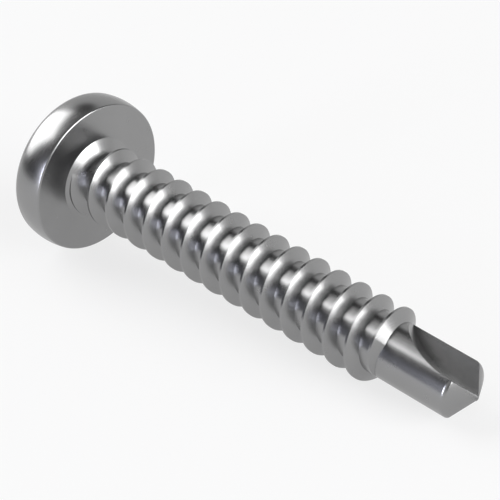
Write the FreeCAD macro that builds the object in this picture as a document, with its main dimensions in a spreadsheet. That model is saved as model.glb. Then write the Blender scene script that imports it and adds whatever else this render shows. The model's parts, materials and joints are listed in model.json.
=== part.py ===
import FreeCAD
import Part
import Sketcher
import math
import os

# Self drilling screw, pan head with cross recess, 4.8 mm tapping thread, drill point.
# One forged and rolled piece of steel. All lengths in millimetres, angles in degrees.
# In the screw's own frame the axis is Z, zero is the flat underside of the head,
# the drill point is at +Z and the head's crown at -Z. The finished screw lies on its side.

SIZES = (
    ("screw_length", 30.0, "underside of the head to the drill point"),
    ("thread_diameter", 4.8, "over the thread crests"),
    ("core_diameter", 3.46, "thread core and drill end"),
    ("thread_pitch", 1.6, "one turn of the thread"),
    ("thread_length", 24.0, "full thread, from the underside of the head"),
    ("crest_width", 0.14, "flat on the thread crest"),
    ("flank_angle", 30.0, "each thread flank against the plane across the axis"),
    ("runout_turn", 80.0, "turn over which the thread sinks into the core"),
    ("head_diameter", 9.72, "widest part of the head"),
    ("head_height", 3.7, "underside to crown"),
    ("dome_radius", 8.0, "crown of the head"),
    ("side_radius", 4.1, "bulge of the head's side"),
    ("side_station", 1.0, "widest part of the head above the underside"),
    ("shoulder_radius", 0.9, "rounding between side and crown"),
    ("rim_bevel", 0.12, "bevel between side and underside"),
    ("neck_diameter", 5.24, "cone under the head, where it meets the underside"),
    ("point_angle", 118.0, "included angle of the drill point"),
    ("point_rounding", 0.35, "rounding between drill end and point"),
    ("flute_radius", 8.0, "cutter that mills the flute's floor"),
    ("flute_station", 0.85, "lowest part of the flute's floor, back from the point"),
    ("flute_length", 5.7, "flute, back from the point"),
    ("web_width", 0.2, "steel left between the two flutes"),
    ("recess_width", 4.9, "cross recess across two wings, at the crown"),
    ("recess_depth", 2.8, "cross recess below the crown"),
    ("recess_slot", 1.5, "width of a recess wing"),
    ("recess_taper", 26.5, "lean of the recess wing ends"),
    ("recess_core", 2.6, "round middle of the recess, at the crown"),
)

LYING_AZIMUTH = 225.0  # side of the screw that lies on the table
THREAD_BITE = 0.1      # the thread profile reaches this far into the core
CUT_MARGIN = 0.5       # a cutter reaches this far past the surface it leaves


def make_sheet(doc):
    """Keep the driving dimensions in one table, each cell with its own name."""
    sheet = doc.addObject("Spreadsheet::Sheet", "sizes")
    for row, (alias, value, note) in enumerate(SIZES, start=1):
        sheet.set(f"A{row}", alias)
        sheet.set(f"B{row}", str(value))
        sheet.set(f"C{row}", note)
        sheet.setAlias(f"B{row}", alias)
    doc.recompute()
    return sheet


def origin_feature(body, role):
    """Find one of the body's own base planes or axes."""
    return next(item for item in body.Origin.OriginFeatures if item.Role == role)


def new_sketch(body, name, plane_role):
    sketch = body.newObject("Sketcher::SketchObject", name)
    sketch.AttachmentSupport = [(origin_feature(body, plane_role), "")]
    sketch.MapMode = "FlatFace"
    return sketch


def vector(across, along):
    return FreeCAD.Vector(across, along, 0)


def line(sketch, start, end):
    return sketch.addGeometry(Part.LineSegment(vector(*start), vector(*end)))


def arc(sketch, centre, start, end):
    """Arc counterclockwise from start to end."""
    radius = math.dist(centre, start)
    first = math.atan2(start[1] - centre[1], start[0] - centre[0])
    last = math.atan2(end[1] - centre[1], end[0] - centre[0])
    if last < first:
        last += 2 * math.pi
    circle = Part.Circle(vector(*centre), FreeCAD.Vector(0, 0, 1), radius)
    return sketch.addGeometry(Part.ArcOfCircle(circle, first, last))


def smooth(sketch, *chain):
    """Join each piece of outline to the next with no corner between them."""
    for here, after in zip(chain, chain[1:]):
        sketch.addConstraint(Sketcher.Constraint("Tangent", here, 2, after, 1))


def sharp(sketch, *chain):
    """Join each piece of outline to the next at a corner."""
    for here, after in zip(chain, chain[1:]):
        sketch.addConstraint(Sketcher.Constraint("Coincident", here, 2, after, 1))


def size(sketch, kind, refs, value, expression):
    """Dimension driven by the table of sizes."""
    index = sketch.addConstraint(Sketcher.Constraint(kind, *refs, value))
    sketch.setExpression(f"Constraints[{index}]", expression)


def place(sketch, geometry, point, across, along):
    """Fix a point by its distances from the axis and from the underside of the head."""
    for kind, (value, expression) in (("DistanceX", across), ("DistanceY", along)):
        size(sketch, kind, (-1, 1, geometry, point), value, expression)


def on_axis(sketch, geometry, point):
    sketch.addConstraint(Sketcher.Constraint("PointOnObject", geometry, point, -2))


def blend(first_centre, first_radius, second_centre, second_radius, rounding):
    """Round the outer corner of two arcs: centre of the rounding and where it meets each arc."""
    centre = meeting_point(
        first_centre, first_radius - rounding, second_centre, second_radius - rounding
    )
    return (
        centre,
        away(first_centre, centre, first_radius),
        away(second_centre, centre, second_radius),
    )


def meeting_point(first_centre, first_radius, second_centre, second_radius):
    """Crossing of two circles that lies further from the screw's axis."""
    dx = second_centre[0] - first_centre[0]
    dy = second_centre[1] - first_centre[1]
    apart = math.hypot(dx, dy)
    along = (first_radius**2 - second_radius**2 + apart**2) / (2 * apart)
    off = math.sqrt(first_radius**2 - along**2)
    return max(
        (first_centre[0] + (along * dx + turn * off * dy) / apart,
         first_centre[1] + (along * dy - turn * off * dx) / apart)
        for turn in (1, -1)
    )


def away(start, through, distance):
    """Point at a distance from start on the line through another point."""
    share = distance / math.dist(start, through)
    return tuple(a + share * (b - a) for a, b in zip(start, through))


def turned_blank(body, v):
    """Head, neck cone, core and drill point as one turned outline."""
    sketch = new_sketch(body, "blank_outline", "XZ_Plane")
    dome_centre = (0.0, v.dome_radius - v.head_height)
    side_centre = (v.head_diameter / 2 - v.side_radius, -v.side_station)
    core = v.core_diameter / 2
    neck = v.neck_diameter / 2
    neck_end = (neck - core) * math.tan(math.radians(v.flank_angle))
    lean = math.radians(v.point_angle / 2)
    point_base = v.screw_length - core / math.tan(lean)
    crown = (0.0, -v.head_height)
    tip = (0.0, v.screw_length)

    shoulder_centre, dome_end, side_start = blend(
        dome_centre, v.dome_radius, side_centre, v.side_radius, v.shoulder_radius
    )
    reach = math.sqrt(v.side_radius**2 - (v.side_station - v.rim_bevel)**2)
    side_end = (side_centre[0] + reach, -v.rim_bevel)
    rim_end = (side_end[0] - v.rim_bevel, 0.0)
    rounding_reach = v.point_rounding * math.tan(lean / 2)
    rounding_centre = (core - v.point_rounding, point_base - rounding_reach)
    shank_end = (core, point_base - rounding_reach)
    point_start = away((core, point_base), tip, rounding_reach)

    dome = arc(sketch, dome_centre, crown, dome_end)
    shoulder = arc(sketch, shoulder_centre, dome_end, side_start)
    side = arc(sketch, side_centre, side_start, side_end)
    rim = line(sketch, side_end, rim_end)
    underside = line(sketch, rim_end, (neck, 0.0))
    cone = line(sketch, (neck, 0.0), (core, neck_end))
    shank = line(sketch, (core, neck_end), shank_end)
    rounding = arc(sketch, rounding_centre, shank_end, point_start)
    point = line(sketch, point_start, tip)
    axis = line(sketch, tip, crown)
    smooth(sketch, dome, shoulder, side)
    sharp(sketch, side, rim, underside, cone, shank)
    smooth(sketch, shank, rounding, point)
    sharp(sketch, point, axis, dome)

    sketch.addConstraint(Sketcher.Constraint("Horizontal", underside))
    sketch.addConstraint(Sketcher.Constraint("Vertical", shank))
    on_axis(sketch, dome, 3)
    on_axis(sketch, axis, 1)
    on_axis(sketch, axis, 2)
    for curve, name in (
        (dome, "dome_radius"), (shoulder, "shoulder_radius"), (side, "side_radius"),
        (rounding, "point_rounding"),
    ):
        size(sketch, "Radius", (curve,), getattr(v, name), f"sizes.{name}")
    size(sketch, "DistanceY", (dome, 1, -1, 1), v.head_height, "sizes.head_height")
    size(sketch, "DistanceY", (side, 3, -1, 1), v.side_station, "sizes.side_station")
    size(sketch, "DistanceY", (rim, 1, -1, 1), v.rim_bevel, "sizes.rim_bevel")
    size(sketch, "DistanceX", (rim, 2, rim, 1), v.rim_bevel, "sizes.rim_bevel")
    size(
        sketch, "DistanceX", (-1, 1, side, 3), side_centre[0],
        "sizes.head_diameter / 2 - sizes.side_radius",
    )
    place(sketch, underside, 2, (neck, "sizes.neck_diameter / 2"), (0.0, "0"))
    place(
        sketch, cone, 2, (core, "sizes.core_diameter / 2"),
        (neck_end, "(sizes.neck_diameter - sizes.core_diameter) / 2 * tan(sizes.flank_angle * 1deg)"),
    )
    size(sketch, "Angle", (point,), math.pi / 2 + lean, "90deg + sizes.point_angle * 0.5deg")
    size(sketch, "DistanceY", (-1, 1, point, 2), v.screw_length, "sizes.screw_length")

    blank = body.newObject("PartDesign::Revolution", "turned_blank")
    blank.Profile = sketch
    blank.ReferenceAxis = (origin_feature(body, "Z_Axis"), [""])
    body.Document.recompute()
    return blank


def thread_profile(body, name, station, station_expression, v):
    """Ridge section of the thread, its foot sunk a little into the core."""
    sketch = new_sketch(body, name, "YZ_Plane")
    crest = v.thread_diameter / 2
    foot = v.core_diameter / 2 - THREAD_BITE
    half_crest = v.crest_width / 2
    half_foot = half_crest + (crest - foot) * math.tan(math.radians(v.flank_angle))
    foot_expression = f"sizes.core_diameter / 2 - {THREAD_BITE}"
    half_foot_expression = (
        f"sizes.crest_width / 2 + (sizes.thread_diameter / 2 - sizes.core_diameter / 2"
        f" + {THREAD_BITE}) * tan(sizes.flank_angle * 1deg)"
    )
    corners = (
        (foot, station - half_foot), (crest, station - half_crest),
        (crest, station + half_crest), (foot, station + half_foot),
    )
    sides = [line(sketch, here, after) for here, after in zip(corners, corners[1:] + corners[:1])]
    sharp(sketch, *sides, sides[0])
    crest_at = (crest, "sizes.thread_diameter / 2")
    foot_at = (foot, foot_expression)
    places = (
        (foot_at, (station - half_foot, f"{station_expression} - ({half_foot_expression})")),
        (crest_at, (station - half_crest, f"{station_expression} - sizes.crest_width / 2")),
        (crest_at, (station + half_crest, f"{station_expression} + sizes.crest_width / 2")),
        (foot_at, (station + half_foot, f"{station_expression} + ({half_foot_expression})")),
    )
    for side, (across, along) in zip(sides, places):
        place(sketch, side, 1, across, along)
    return sketch


def rolled_thread(body, v):
    """Right hand thread from the head's underside, sinking into the core at its far end."""
    axis = (origin_feature(body, "Z_Axis"), [""])
    profile = thread_profile(body, "thread_profile", 0.0, "0", v)
    thread = body.newObject("PartDesign::AdditiveHelix", "thread")
    thread.Profile = profile
    thread.ReferenceAxis = axis
    thread.Mode = "pitch-turns-angle"
    thread.setExpression("Pitch", "sizes.thread_pitch")
    thread.setExpression("Turns", "sizes.thread_length / sizes.thread_pitch")
    body.Document.recompute()

    end_profile = thread_profile(body, "runout_profile", v.thread_length, "sizes.thread_length", v)
    end_profile.AttachmentOffset = FreeCAD.Placement(
        FreeCAD.Vector(0, 0, 0),
        FreeCAD.Rotation(FreeCAD.Vector(0, 1, 0), 360 * v.thread_length / v.thread_pitch),
    )
    end_profile.setExpression(
        ".AttachmentOffset.Rotation.Angle", "360deg * mod(sizes.thread_length / sizes.thread_pitch; 1)"
    )
    runout = body.newObject("PartDesign::AdditiveHelix", "runout")
    runout.Profile = end_profile
    runout.ReferenceAxis = axis
    runout.Mode = "height-turns-growth"
    runout.Height = 0
    runout.setExpression("Turns", "sizes.runout_turn / 360")
    runout.setExpression(
        "Growth", "-(sizes.thread_diameter - sizes.core_diameter) / 2 * 360 / sizes.runout_turn"
    )
    body.Document.recompute()
    return thread, runout


def milled_flutes(body, v):
    """Two flutes half a turn apart: a flat wall on the axis and a floor left by a round cutter."""
    sketch = new_sketch(body, "flute_outline", "XZ_Plane")
    centre = (v.web_width / 2 + v.flute_radius, v.screw_length - v.flute_station)
    start = v.screw_length - v.flute_length
    end = v.screw_length + CUT_MARGIN
    outer = v.thread_diameter / 2 + CUT_MARGIN
    floor_start = (centre[0] - math.sqrt(v.flute_radius**2 - (start - centre[1])**2), start)
    floor_end = (centre[0] - math.sqrt(v.flute_radius**2 - (end - centre[1])**2), end)

    floor = arc(sketch, centre, floor_end, floor_start)
    back = line(sketch, floor_start, (outer, start))
    outside = line(sketch, (outer, start), (outer, end))
    front = line(sketch, (outer, end), floor_end)
    sharp(sketch, floor, back, outside, front, floor)
    sketch.addConstraint(Sketcher.Constraint("Horizontal", back))
    sketch.addConstraint(Sketcher.Constraint("Horizontal", front))
    size(sketch, "Radius", (floor,), v.flute_radius, "sizes.flute_radius")
    place(
        sketch, floor, 3, (centre[0], "sizes.web_width / 2 + sizes.flute_radius"),
        (centre[1], "sizes.screw_length - sizes.flute_station"),
    )
    place(
        sketch, back, 2, (outer, f"sizes.thread_diameter / 2 + {CUT_MARGIN}"),
        (start, "sizes.screw_length - sizes.flute_length"),
    )
    place(
        sketch, outside, 2, (outer, f"sizes.thread_diameter / 2 + {CUT_MARGIN}"),
        (end, f"sizes.screw_length + {CUT_MARGIN}"),
    )
    flute = body.newObject("PartDesign::Pocket", "flute")
    flute.Profile = sketch
    flute.Type = "ThroughAll"
    body.Document.recompute()
    return flute, pattern(body, "flutes", flute, 360)


def pattern(body, name, feature, angle):
    """Second copy of a feature about the screw's axis."""
    copies = body.newObject("PartDesign::PolarPattern", name)
    copies.Originals = [feature]
    copies.Axis = (origin_feature(body, "Z_Axis"), [""])
    copies.Angle = angle
    copies.Occurrences = 2
    body.Tip = copies
    body.Document.recompute()
    return copies


def cross_recess(body, v):
    """Cross recess in the crown: two crossed tapering slots and a round tapering middle."""
    top = v.head_height + CUT_MARGIN
    taper = math.tan(math.radians(v.recess_taper))
    half_top = v.recess_width / 2 + CUT_MARGIN * taper
    half_bottom = v.recess_width / 2 - v.recess_depth * taper
    bottom = v.head_height - v.recess_depth
    taper_expression = "tan(sizes.recess_taper * 1deg)"
    top_expression = f"-sizes.head_height - {CUT_MARGIN}"
    bottom_expression = "sizes.recess_depth - sizes.head_height"
    half_top_expression = f"sizes.recess_width / 2 + {CUT_MARGIN} * {taper_expression}"
    half_bottom_expression = f"sizes.recess_width / 2 - sizes.recess_depth * {taper_expression}"

    sketch = new_sketch(body, "recess_wings", "XZ_Plane")
    corners = ((-half_top, -top), (half_top, -top), (half_bottom, -bottom), (-half_bottom, -bottom))
    sides = [line(sketch, here, after) for here, after in zip(corners, corners[1:] + corners[:1])]
    sharp(sketch, *sides, sides[0])
    places = (
        (f"-({half_top_expression})", top_expression),
        (half_top_expression, top_expression),
        (half_bottom_expression, bottom_expression),
        (f"-({half_bottom_expression})", bottom_expression),
    )
    for side, corner, (across, along) in zip(sides, corners, places):
        place(sketch, side, 1, (corner[0], across), (corner[1], along))
    wing = body.newObject("PartDesign::Pocket", "recess_wing")
    wing.Profile = sketch
    wing.SideType = "Symmetric"
    wing.setExpression("Length", "sizes.recess_slot")
    body.Document.recompute()
    wings = pattern(body, "recess_cross", wing, 90)

    middle = new_sketch(body, "recess_middle", "XZ_Plane")
    core_top = v.recess_core / 2
    tip = -v.head_height + v.recess_depth + core_top * math.tan(math.radians(90 - v.point_angle / 2)) / 2
    mouth = line(middle, (0.0, -top), (core_top, -top))
    wall = line(middle, (core_top, -top), (v.recess_slot / 2, -bottom))
    cone = line(middle, (v.recess_slot / 2, -bottom), (0.0, tip))
    axis = line(middle, (0.0, tip), (0.0, -top))
    sharp(middle, mouth, wall, cone, axis, mouth)
    on_axis(middle, axis, 1)
    on_axis(middle, axis, 2)
    place(middle, wall, 1, (core_top, "sizes.recess_core / 2"), (-top, top_expression))
    place(middle, cone, 1, (v.recess_slot / 2, "sizes.recess_slot / 2"), (-bottom, bottom_expression))
    middle.addConstraint(Sketcher.Constraint("Horizontal", mouth))
    size(
        middle, "DistanceY", (-1, 1, cone, 2), tip,
        f"{bottom_expression} + sizes.recess_core / 4 * tan(90deg - sizes.point_angle * 0.5deg)",
    )
    groove = body.newObject("PartDesign::Groove", "recess_centre")
    groove.Profile = middle
    groove.ReferenceAxis = (origin_feature(body, "Z_Axis"), [""])
    body.Document.recompute()
    return wings, groove


def lay_down(body, v):
    """Rest the screw on the rim of its head and on its last crest, with the point lower."""
    side_centre = v.head_diameter / 2 - v.side_radius
    turns = math.floor((v.thread_length / v.thread_pitch) - (LYING_AZIMUTH - 90) / 360)
    last_crest = v.thread_pitch * (turns + (LYING_AZIMUTH - 90) / 360) + v.crest_width / 2
    run = last_crest + v.side_station
    drop = v.thread_diameter / 2 - side_centre
    tilt = math.degrees(math.asin(v.side_radius / math.hypot(run, drop)) - math.atan2(drop, run))
    lying = FreeCAD.Rotation(FreeCAD.Vector(0, 1, 0), 90 + tilt)
    rolled = FreeCAD.Rotation(FreeCAD.Vector(0, 0, 1), 360 - LYING_AZIMUTH)
    body.Placement = FreeCAD.Placement(FreeCAD.Vector(0, 0, 0), lying * rolled)
    body.Document.recompute()
    box = body.Shape.optimalBoundingBox(False, False)
    centre = FreeCAD.Vector(box.Center.x, box.Center.y, box.ZMin)
    body.Placement = FreeCAD.Placement(centre * -1, lying * rolled)
    body.Document.recompute()
    return tilt


def check_changes(stages):
    """Each ridge has to add steel and each cut has to take some away."""
    for before, after in zip(stages, stages[1:]):
        change = after.Shape.Volume - before.Shape.Volume
        adds = after.TypeId == "PartDesign::AdditiveHelix"
        if change == 0 or adds != (change > 0):
            raise RuntimeError(f"{after.Name} changes the volume by {change:.3f} mm3")
        print(f"{after.Name}: {change:+.3f} mm3")


def check_document(doc, body):
    for item in doc.Objects:
        bad = [state for state in item.State if state in ("Invalid", "Error")]
        if bad:
            raise RuntimeError(f"{item.Name} is {bad}")
    if body.Shape.isNull() or not body.Shape.isValid():
        raise RuntimeError(f"{body.Label} has no valid shape")
    if len(body.Shape.Solids) != 1:
        raise RuntimeError(f"{body.Label} has {len(body.Shape.Solids)} solids")


def main():
    doc = FreeCAD.newDocument("self_drilling_screw")
    v = make_sheet(doc)
    body = doc.addObject("PartDesign::Body", "drilling_screw")
    body.Label = "drilling_screw"

    blank = turned_blank(body, v)
    thread, runout = rolled_thread(body, v)
    flute, flutes = milled_flutes(body, v)
    wings, groove = cross_recess(body, v)
    check_changes((blank, thread, runout, flute, flutes, wings, groove))
    tilt = lay_down(body, v)
    check_document(doc, body)
    print(f"lies at {tilt:.2f} degrees, volume {body.Shape.Volume:.1f} mm3")
    os.makedirs("parts", exist_ok=True)
    body.Shape.exportStep(f"parts/{body.Label}.step")


main()
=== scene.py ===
import json
import math

import bpy
from mathutils import Matrix, Vector


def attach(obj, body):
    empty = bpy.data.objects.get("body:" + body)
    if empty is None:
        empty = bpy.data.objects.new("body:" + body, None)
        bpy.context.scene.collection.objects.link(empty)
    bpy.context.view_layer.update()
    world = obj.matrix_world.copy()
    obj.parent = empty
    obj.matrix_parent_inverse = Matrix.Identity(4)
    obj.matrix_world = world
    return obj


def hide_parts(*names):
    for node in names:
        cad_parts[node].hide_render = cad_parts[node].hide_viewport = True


# Self drilling screw lying on a pale studio floor.
# The screw is built in millimetres in its own frame: the axis is Z, zero is the flat
# underside of the head, the drill point is at +Z. It is then laid where the frame has it.

MM = 0.001

# Driving sizes of the screw in millimetres, the same as the solid's. Only the rim differs:
# it is a rounding here, and a bevel of the same size in the solid.
SCREW_LENGTH = 30.0
CREST_RADIUS = 2.4
CORE_RADIUS = 1.73
PITCH = 1.6
THREAD_LENGTH = 24.0
CREST_WIDTH = 0.14
FLANK_ANGLE = math.radians(30)
RUNOUT_TURN = math.radians(80)
HEAD_RADIUS = 4.86
HEAD_HEIGHT = 3.7
DOME_RADIUS = 8.0
SIDE_RADIUS = 4.1
SIDE_STATION = 1.0
SHOULDER_RADIUS = 0.9
RIM_RADIUS = 0.12
NECK_RADIUS = 2.62
POINT_LEAN = math.radians(59)
POINT_ROUNDING = 0.35
FLUTE_RADIUS = 8.0
FLUTE_STATION = 0.85
FLUTE_LENGTH = 5.7
WEB_WIDTH = 0.2
RECESS_WIDTH = 4.9
RECESS_DEPTH = 2.8
RECESS_SLOT = 1.5
RECESS_TAPER = math.radians(26.5)
RECESS_CORE = 2.6
LYING_AZIMUTH = math.radians(225)

# Fineness of the mesh, and the angle from which an edge stays sharp.
AROUND = 240
PER_TURN = 120
ARC_STEPS = 14
FLUTE_STEPS = 48
SHARP_EDGE = math.radians(20)

# How far the foot of the thread sinks into the core, and a cutter reaches past the steel,
# in millimetres.
THREAD_BITE = 0.1
CUT_MARGIN = 0.5

# Camera of the photograph: metres and degrees in the frame's own axes, and millimetres for
# the lens and its sensor.
CAMERA_AIM = Vector((0.00009, -0.00008, 0.00461))
CAMERA_AZIMUTH = -42.34
CAMERA_ELEVATION = 31.0
CAMERA_ROLL = -4.85
CAMERA_DISTANCE = 0.12281
CAMERA_LENS = 155.85
CAMERA_SENSOR = 36.0
CAMERA_NEAR = 0.001

# Plated steel. Each noise has its scale, in features a metre, and its detail. The grain is
# so many millimetres deep. A noise is mostly in the middle of its range.
STEEL_DARK = (0.322, 0.322, 0.323)
STEEL_LIGHT = (0.334, 0.334, 0.335)
STEEL_ROUGHNESS = (0.256, 0.274)
CLOUDING = (700, 3)
GLOSS = (1600, 5)
GRAIN = (14000, 2)
GRAIN_STRENGTH = 0.015
GRAIN_DEPTH = 0.002
NOISE_MIDDLE = (0.3, 0.7)

# Studio, in metres. The floor glows for the camera and in mirror images, to read white.
FLOOR_SIZE = 3.0
FLOOR_COLOUR = (0.72, 0.72, 0.72)
FLOOR_ROUGHNESS = 0.9
FLOOR_GLOW_SHARE = 0.75
FLOOR_GLOW_SEEN = 1.0
FLOOR_GLOW_MIRRORED = 0.834
WHITE = (1.0, 1.0, 1.0)
BLUISH = (0.84, 0.86, 1.0)
LAMP_DISTANCE = 0.6
# Azimuth, elevation, width and height in degrees as seen from the screw, radiance, colour.
LAMPS = {
    "key_softbox": (192.5, 38.3, 44.1, 45.4, 3.6, WHITE),
    "side_softbox": (7.9, 20.4, 44.2, 25.3, 7.46, WHITE),
    "high_softbox": (12.9, 32.9, 39.4, 23.8, 2.3, WHITE),
    "strip_softbox": (-96.1, 12.6, 14.9, 24.7, 9.41, BLUISH),
}
# Grey levels of the surround, and the elevations between which it darkens upwards, in degrees.
HORIZON_LEVEL = 0.668
CEILING_LEVEL = 0.2
CEILING_START = 40
CEILING_FULL = 63
# Azimuth, elevation, inner and outer angle from the middle in degrees, grey level.
DARK_PLACES = (
    (-127.9, 19.2, 20.7, 29.2, 0.0),
    (-103.6, 46.8, 17.8, 27.8, 0.06),
    (-35.2, 18.2, 10.0, 32.0, 0.17),
    (133.0, 49.0, 6.0, 14.0, 0.0),
    (72.0, 41.0, 13.0, 30.0, 0.18),
)


def blend(first_centre, first_radius, second_centre, second_radius, rounding):
    """Round the outer corner of two arcs: centre of the rounding, and its two ends."""
    centre = meeting_point(
        first_centre, first_radius - rounding, second_centre, second_radius - rounding
    )
    return (
        centre,
        away(first_centre, centre, first_radius),
        away(second_centre, centre, second_radius),
    )


def meeting_point(first_centre, first_radius, second_centre, second_radius):
    """Crossing of two circles that lies further from the screw's axis."""
    dx = second_centre[0] - first_centre[0]
    dy = second_centre[1] - first_centre[1]
    apart = math.hypot(dx, dy)
    along = (first_radius**2 - second_radius**2 + apart**2) / (2 * apart)
    off = math.sqrt(first_radius**2 - along**2)
    return max(
        (first_centre[0] + (along * dx + turn * off * dy) / apart,
         first_centre[1] + (along * dy - turn * off * dx) / apart)
        for turn in (1, -1)
    )


def away(start, through, distance):
    """Point at a distance from start on the line through another point."""
    share = distance / math.dist(start, through)
    return tuple(a + share * (b - a) for a, b in zip(start, through))


def arc_points(centre, start, end):
    """Points on an arc, the shorter way round, both ends included."""
    first = math.atan2(start[1] - centre[1], start[0] - centre[0])
    turn = math.atan2(end[1] - centre[1], end[0] - centre[0]) - first
    turn = (turn + math.pi) % (2 * math.pi) - math.pi
    radius = math.dist(centre, start)
    return [
        (centre[0] + radius * math.cos(first + turn * step / ARC_STEPS),
         centre[1] + radius * math.sin(first + turn * step / ARC_STEPS))
        for step in range(ARC_STEPS + 1)
    ]


def mesh_object(name, points, faces):
    mesh = bpy.data.meshes.new(name)
    mesh.from_pydata(points, [], faces)
    mesh.update()
    piece = bpy.data.objects.new(name, mesh)
    bpy.context.scene.collection.objects.link(piece)
    return piece


def turned(name, outline):
    """Closed solid turned about the screw's axis from an outline that starts and ends on it."""
    rings = outline[1:-1]
    points = [(0.0, 0.0, outline[0][1])]
    for radius, station in rings:
        points += [
            (radius * math.cos(angle), radius * math.sin(angle), station)
            for angle in (2 * math.pi * step / AROUND for step in range(AROUND))
        ]
    points.append((0.0, 0.0, outline[-1][1]))
    last = len(points) - 1
    faces = []
    for step in range(AROUND):
        after = (step + 1) % AROUND
        faces.append((0, 1 + after, 1 + step))
        for ring in range(len(rings) - 1):
            here = 1 + ring * AROUND
            beyond = here + AROUND
            faces.append((here + step, here + after, beyond + after, beyond + step))
        end = last - AROUND
        faces.append((end + step, end + after, last))
    return mesh_object(name, points, faces)


def swept(name, sections):
    """Closed solid through a row of like sections, each a loop of points."""
    count = len(sections[0])
    points = [point for section in sections for point in section]
    faces = [tuple(range(count))]
    for row in range(len(sections) - 1):
        here = row * count
        beyond = here + count
        for step in range(count):
            after = (step + 1) % count
            faces.append((here + step, beyond + step, beyond + after, here + after))
    last = (len(sections) - 1) * count
    faces.append(tuple(last + step for step in reversed(range(count))))
    return mesh_object(name, points, faces)


def blank_outline():
    """Half section of head, neck cone, core and point, from the crown to the tip."""
    dome_centre = (0.0, DOME_RADIUS - HEAD_HEIGHT)
    side_centre = (HEAD_RADIUS - SIDE_RADIUS, -SIDE_STATION)
    shoulder_centre, dome_end, side_start = blend(
        dome_centre, DOME_RADIUS, side_centre, SIDE_RADIUS, SHOULDER_RADIUS
    )
    reach = math.sqrt((SIDE_RADIUS - RIM_RADIUS)**2 - (SIDE_STATION - RIM_RADIUS)**2)
    rim_centre = (side_centre[0] + reach, -RIM_RADIUS)
    side_end = away(side_centre, rim_centre, SIDE_RADIUS)
    rim_end = (rim_centre[0], 0.0)
    neck_end = (NECK_RADIUS - CORE_RADIUS) * math.tan(FLANK_ANGLE)
    point_base = SCREW_LENGTH - CORE_RADIUS / math.tan(POINT_LEAN)
    reach = POINT_ROUNDING * math.tan(POINT_LEAN / 2)
    rounding_centre = (CORE_RADIUS - POINT_ROUNDING, point_base - reach)
    shank_end = (CORE_RADIUS, point_base - reach)
    tip = (0.0, SCREW_LENGTH)
    point_start = away((CORE_RADIUS, point_base), tip, reach)
    return (
        arc_points(dome_centre, (0.0, -HEAD_HEIGHT), dome_end)
        + arc_points(shoulder_centre, dome_end, side_start)[1:]
        + arc_points(side_centre, side_start, side_end)[1:]
        + arc_points(rim_centre, side_end, rim_end)[1:]
        + [(NECK_RADIUS, 0.0), (CORE_RADIUS, neck_end)]
        + arc_points(rounding_centre, shank_end, point_start)
        + [tip]
    )


def thread_section(turn, station, sink):
    """Ridge section at an angle about the axis, moved inwards by a part of its height."""
    depth = CREST_RADIUS - CORE_RADIUS
    foot = CORE_RADIUS - THREAD_BITE
    half_crest = CREST_WIDTH / 2
    half_foot = half_crest + (CREST_RADIUS - foot) * math.tan(FLANK_ANGLE)
    corners = (
        (foot, -half_foot),
        (CREST_RADIUS, -half_crest),
        (CREST_RADIUS, half_crest),
        (foot, half_foot),
    )
    return [
        ((radius - sink * depth) * math.cos(turn),
         (radius - sink * depth) * math.sin(turn),
         station + along)
        for radius, along in corners
    ]


def rolled_thread():
    """Right hand ridge from the underside of the head, sinking into the core at its far end."""
    start = math.pi / 2
    turns = THREAD_LENGTH / PITCH
    steps = round(turns * PER_TURN)
    sections = [
        thread_section(start + 2 * math.pi * step / PER_TURN, PITCH * step / PER_TURN, 0.0)
        for step in range(steps + 1)
    ]
    runout_steps = round(RUNOUT_TURN / (2 * math.pi) * PER_TURN)
    end = start + 2 * math.pi * turns
    for step in range(1, runout_steps + 1):
        share = step / runout_steps
        sections.append(thread_section(end + RUNOUT_TURN * share, THREAD_LENGTH, share))
    return swept("thread", sections)


def flute_cutter(name, turn):
    """Cutter with a flat wall on the axis and the round floor of a milling cutter."""
    centre = (WEB_WIDTH / 2 + FLUTE_RADIUS, SCREW_LENGTH - FLUTE_STATION)
    start = SCREW_LENGTH - FLUTE_LENGTH
    end = SCREW_LENGTH + CUT_MARGIN
    outer = CREST_RADIUS + CUT_MARGIN
    outline = [(outer, start), (outer, end)]
    outline += [
        (centre[0] - math.sqrt(FLUTE_RADIUS**2 - (station - centre[1])**2), station)
        for station in (
            end - (end - start) * step / FLUTE_STEPS for step in range(FLUTE_STEPS + 1)
        )
    ]
    cutter = swept(name, [
        [(across, depth, along) for across, along in outline] for depth in (0.0, outer)
    ])
    cutter.data.transform(Matrix.Rotation(turn, 4, "Z"))
    return cutter


def recess_wing(name, turn):
    """Tapering slot across the crown."""
    top = -HEAD_HEIGHT - CUT_MARGIN
    bottom = RECESS_DEPTH - HEAD_HEIGHT
    half_top = RECESS_WIDTH / 2 + CUT_MARGIN * math.tan(RECESS_TAPER)
    half_bottom = RECESS_WIDTH / 2 - RECESS_DEPTH * math.tan(RECESS_TAPER)
    outline = ((half_top, top), (half_bottom, bottom), (-half_bottom, bottom), (-half_top, top))
    wing = swept(name, [
        [(across, depth, along) for across, along in outline]
        for depth in (-RECESS_SLOT / 2, RECESS_SLOT / 2)
    ])
    wing.data.transform(Matrix.Rotation(turn, 4, "Z"))
    return wing


def recess_middle():
    """Round tapering middle of the cross recess, with a cone at its bottom."""
    top = -HEAD_HEIGHT - CUT_MARGIN
    bottom = RECESS_DEPTH - HEAD_HEIGHT
    tip = bottom + RECESS_CORE / 4 / math.tan(POINT_LEAN)
    return turned(
        "recess_middle",
        [(0.0, top), (RECESS_CORE / 2, top), (RECESS_SLOT / 2, bottom), (0.0, tip)],
    )


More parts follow.
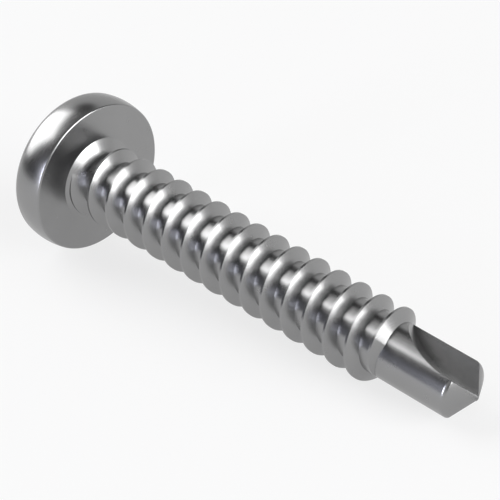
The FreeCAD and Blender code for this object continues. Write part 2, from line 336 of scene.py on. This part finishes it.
def combine(piece, other, operation):
    """Join or cut one closed solid with another, which is then removed."""
    step = piece.modifiers.new(operation, "BOOLEAN")
    step.operation = operation
    step.solver = "MANIFOLD"
    step.object = other
    shaped = bpy.data.meshes.new_from_object(
        piece.evaluated_get(bpy.context.evaluated_depsgraph_get())
    )
    piece.modifiers.clear()
    piece.data = shaped
    bpy.data.objects.remove(other)


def laying_matrix(record):
    """Place of the screw's own frame, read from the thread's mount."""
    mount = next(item for item in record["mounts"] if item["name"] == "thread")
    tilt = math.asin(-mount["axis"][2])
    return (
        Matrix.Translation(mount["pos_m"])
        @ Matrix.Rotation(math.pi / 2 + tilt, 4, "Y")
        @ Matrix.Rotation(2 * math.pi - LYING_AZIMUTH, 4, "Z")
        @ Matrix.Scale(MM, 4)
    )


def build_screw(record):
    """One piece of steel: turned blank with thread, less the two flutes and the recess."""
    screw = turned("screw", blank_outline())
    combine(screw, rolled_thread(), "UNION")
    cutters = (
        flute_cutter("flute_one", 0.0),
        flute_cutter("flute_two", math.pi),
        recess_wing("wing_one", 0.0),
        recess_wing("wing_two", math.pi / 2),
        recess_middle(),
    )
    for cutter in cutters:
        combine(screw, cutter, "DIFFERENCE")
    screw.data.transform(laying_matrix(record))
    screw.data.shade_smooth()
    screw.data.set_sharp_from_angle(angle=SHARP_EDGE)
    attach(screw, "root")
    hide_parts("drilling_screw")
    return screw


def new_material(name):
    material = bpy.data.materials.new(name)
    material.use_nodes = True
    nodes = material.node_tree.nodes
    return material, nodes, material.node_tree.links, nodes["Principled BSDF"]


def noise(nodes, links, place, scale, detail):
    """Noise over the steel, with so many features a metre."""
    texture = nodes.new("ShaderNodeTexNoise")
    texture.inputs["Scale"].default_value = scale
    texture.inputs["Detail"].default_value = detail
    links.new(place, texture.inputs["Vector"])
    return texture.outputs["Fac"]


def spread(nodes, links, value, low, high):
    """Map the middle of a noise onto a range of values."""
    span = nodes.new("ShaderNodeMapRange")
    span.inputs["From Min"].default_value = NOISE_MIDDLE[0]
    span.inputs["From Max"].default_value = NOISE_MIDDLE[1]
    span.inputs["To Min"].default_value = low
    span.inputs["To Max"].default_value = high
    links.new(value, span.inputs["Value"])
    return span.outputs["Result"]


def steel():
    """Bright zinc plate on rolled steel: faint clouding and a fine grain."""
    material, nodes, links, shader = new_material("zinc_plated_steel")
    shader.inputs["Metallic"].default_value = 1.0
    place = nodes.new("ShaderNodeTexCoord").outputs["Object"]
    clouding = nodes.new("ShaderNodeMix")
    clouding.data_type = "RGBA"
    clouding.inputs["A"].default_value = (*STEEL_DARK, 1.0)
    clouding.inputs["B"].default_value = (*STEEL_LIGHT, 1.0)
    clouds = spread(nodes, links, noise(nodes, links, place, *CLOUDING), 0, 1)
    links.new(clouds, clouding.inputs["Factor"])
    links.new(clouding.outputs["Result"], shader.inputs["Base Color"])
    gloss = spread(nodes, links, noise(nodes, links, place, *GLOSS), *STEEL_ROUGHNESS)
    links.new(gloss, shader.inputs["Roughness"])
    grain = nodes.new("ShaderNodeBump")
    grain.inputs["Strength"].default_value = GRAIN_STRENGTH
    grain.inputs["Distance"].default_value = GRAIN_DEPTH * MM
    links.new(noise(nodes, links, place, *GRAIN), grain.inputs["Height"])
    links.new(grain.outputs["Normal"], shader.inputs["Normal"])
    return material


def studio_floor():
    corners = [
        (across * FLOOR_SIZE, along * FLOOR_SIZE, 0.0)
        for across, along in ((-1, -1), (1, -1), (1, 1), (-1, 1))
    ]
    floor = mesh_object("floor", corners, [(0, 1, 2, 3)])
    material, nodes, links, shader = new_material("pale_floor")
    shader.inputs["Base Color"].default_value = (*FLOOR_COLOUR, 1.0)
    shader.inputs["Roughness"].default_value = FLOOR_ROUGHNESS
    shader.inputs["Specular IOR Level"].default_value = 0.0
    rays = nodes.new("ShaderNodeLightPath")
    seen = nodes.new("ShaderNodeMath")
    seen.operation = "MAXIMUM"
    links.new(rays.outputs["Is Camera Ray"], seen.inputs[0])
    links.new(rays.outputs["Is Glossy Ray"], seen.inputs[1])
    share = nodes.new("ShaderNodeMath")
    share.operation = "MULTIPLY"
    share.inputs[1].default_value = FLOOR_GLOW_SHARE
    links.new(seen.outputs[0], share.inputs[0])
    strength = nodes.new("ShaderNodeMapRange")
    strength.inputs["To Min"].default_value = FLOOR_GLOW_MIRRORED
    strength.inputs["To Max"].default_value = FLOOR_GLOW_SEEN
    links.new(rays.outputs["Is Camera Ray"], strength.inputs["Value"])
    glow = nodes.new("ShaderNodeEmission")
    links.new(strength.outputs["Result"], glow.inputs["Strength"])
    mix = nodes.new("ShaderNodeMixShader")
    links.new(share.outputs[0], mix.inputs["Fac"])
    links.new(shader.outputs["BSDF"], mix.inputs[1])
    links.new(glow.outputs["Emission"], mix.inputs[2])
    links.new(mix.outputs["Shader"], nodes["Material Output"].inputs["Surface"])
    floor.data.materials.append(material)


def direction(azimuth, elevation):
    azimuth, elevation = math.radians(azimuth), math.radians(elevation)
    return Vector((
        math.cos(elevation) * math.cos(azimuth),
        math.cos(elevation) * math.sin(azimuth),
        math.sin(elevation),
    ))


def softbox(name, azimuth, elevation, width, height, radiance, colour):
    """Rectangular lamp facing the screw, its size given as the angle that it fills."""
    place = direction(azimuth, elevation) * LAMP_DISTANCE
    lamp = bpy.data.lights.new(name, "AREA")
    lamp.shape = "RECTANGLE"
    lamp.size = 2 * LAMP_DISTANCE * math.tan(math.radians(width / 2))
    lamp.size_y = 2 * LAMP_DISTANCE * math.tan(math.radians(height / 2))
    lamp.energy = radiance * math.pi * lamp.size * lamp.size_y
    lamp.color = colour
    box = bpy.data.objects.new(name, lamp)
    box.location = place
    box.rotation_euler = place.to_track_quat("Z", "Y").to_euler()
    box.visible_camera = False
    bpy.context.scene.collection.objects.link(box)


def grey(level):
    return level, level, level, 1.0


def studio_world():
    """Pale surround with darker places between the lamps."""
    world = bpy.data.worlds.new("studio")
    world.use_nodes = True
    bpy.context.scene.world = world
    nodes = world.node_tree.nodes
    links = world.node_tree.links
    towards = nodes.new("ShaderNodeTexCoord").outputs["Generated"]
    height = nodes.new("ShaderNodeSeparateXYZ")
    links.new(towards, height.inputs["Vector"])
    share = nodes.new("ShaderNodeMapRange")
    share.interpolation_type = "SMOOTHSTEP"
    share.inputs["From Min"].default_value = math.sin(math.radians(CEILING_START))
    share.inputs["From Max"].default_value = math.sin(math.radians(CEILING_FULL))
    links.new(height.outputs["Z"], share.inputs["Value"])
    base = nodes.new("ShaderNodeMix")
    base.data_type = "RGBA"
    base.inputs["A"].default_value = grey(HORIZON_LEVEL)
    base.inputs["B"].default_value = grey(CEILING_LEVEL)
    links.new(share.outputs["Result"], base.inputs["Factor"])
    colour = base.outputs["Result"]
    for place in DARK_PLACES:
        colour = darker_place(nodes, links, colour, towards, *place)
    links.new(colour, nodes["Background"].inputs["Color"])


def darker_place(nodes, links, colour, towards, azimuth, elevation, inner, outer, level):
    """Lay a round patch with a soft edge over the surround's colour."""
    along = nodes.new("ShaderNodeVectorMath")
    along.operation = "DOT_PRODUCT"
    links.new(towards, along.inputs[0])
    along.inputs[1].default_value = direction(azimuth, elevation)
    share = nodes.new("ShaderNodeMapRange")
    share.interpolation_type = "SMOOTHSTEP"
    share.inputs["From Min"].default_value = math.cos(math.radians(outer))
    share.inputs["From Max"].default_value = math.cos(math.radians(inner))
    links.new(along.outputs["Value"], share.inputs["Value"])
    patch = nodes.new("ShaderNodeMix")
    patch.data_type = "RGBA"
    links.new(share.outputs["Result"], patch.inputs["Factor"])
    links.new(colour, patch.inputs["A"])
    patch.inputs["B"].default_value = grey(level)
    return patch.outputs["Result"]


def camera():
    back = direction(CAMERA_AZIMUTH, CAMERA_ELEVATION)
    data = bpy.data.cameras.new("camera")
    data.lens = CAMERA_LENS
    data.sensor_width = CAMERA_SENSOR
    data.clip_start = CAMERA_NEAR
    view = bpy.data.objects.new("camera", data)
    view.location = CAMERA_AIM + back * CAMERA_DISTANCE
    roll = Matrix.Rotation(math.radians(CAMERA_ROLL), 3, "Z")
    view.rotation_euler = (back.to_track_quat("Z", "Y").to_matrix() @ roll).to_euler()
    bpy.context.scene.collection.objects.link(view)
    bpy.context.scene.camera = view


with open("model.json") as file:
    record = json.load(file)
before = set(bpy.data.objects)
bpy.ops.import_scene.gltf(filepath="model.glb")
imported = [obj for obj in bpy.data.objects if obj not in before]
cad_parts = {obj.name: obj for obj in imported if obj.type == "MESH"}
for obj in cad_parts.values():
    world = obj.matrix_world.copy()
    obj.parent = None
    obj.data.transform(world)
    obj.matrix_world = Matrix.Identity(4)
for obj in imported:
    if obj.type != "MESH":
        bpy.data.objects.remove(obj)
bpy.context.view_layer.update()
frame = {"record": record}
screw = build_screw(frame["record"])
# The cuts leave an empty material slot.
screw.data.materials.clear()
screw.data.materials.append(steel())
studio_floor()
studio_world()
for name, lamp in LAMPS.items():
    softbox(name, *lamp)
camera()
bpy.context.scene.view_settings.view_transform = "Standard"
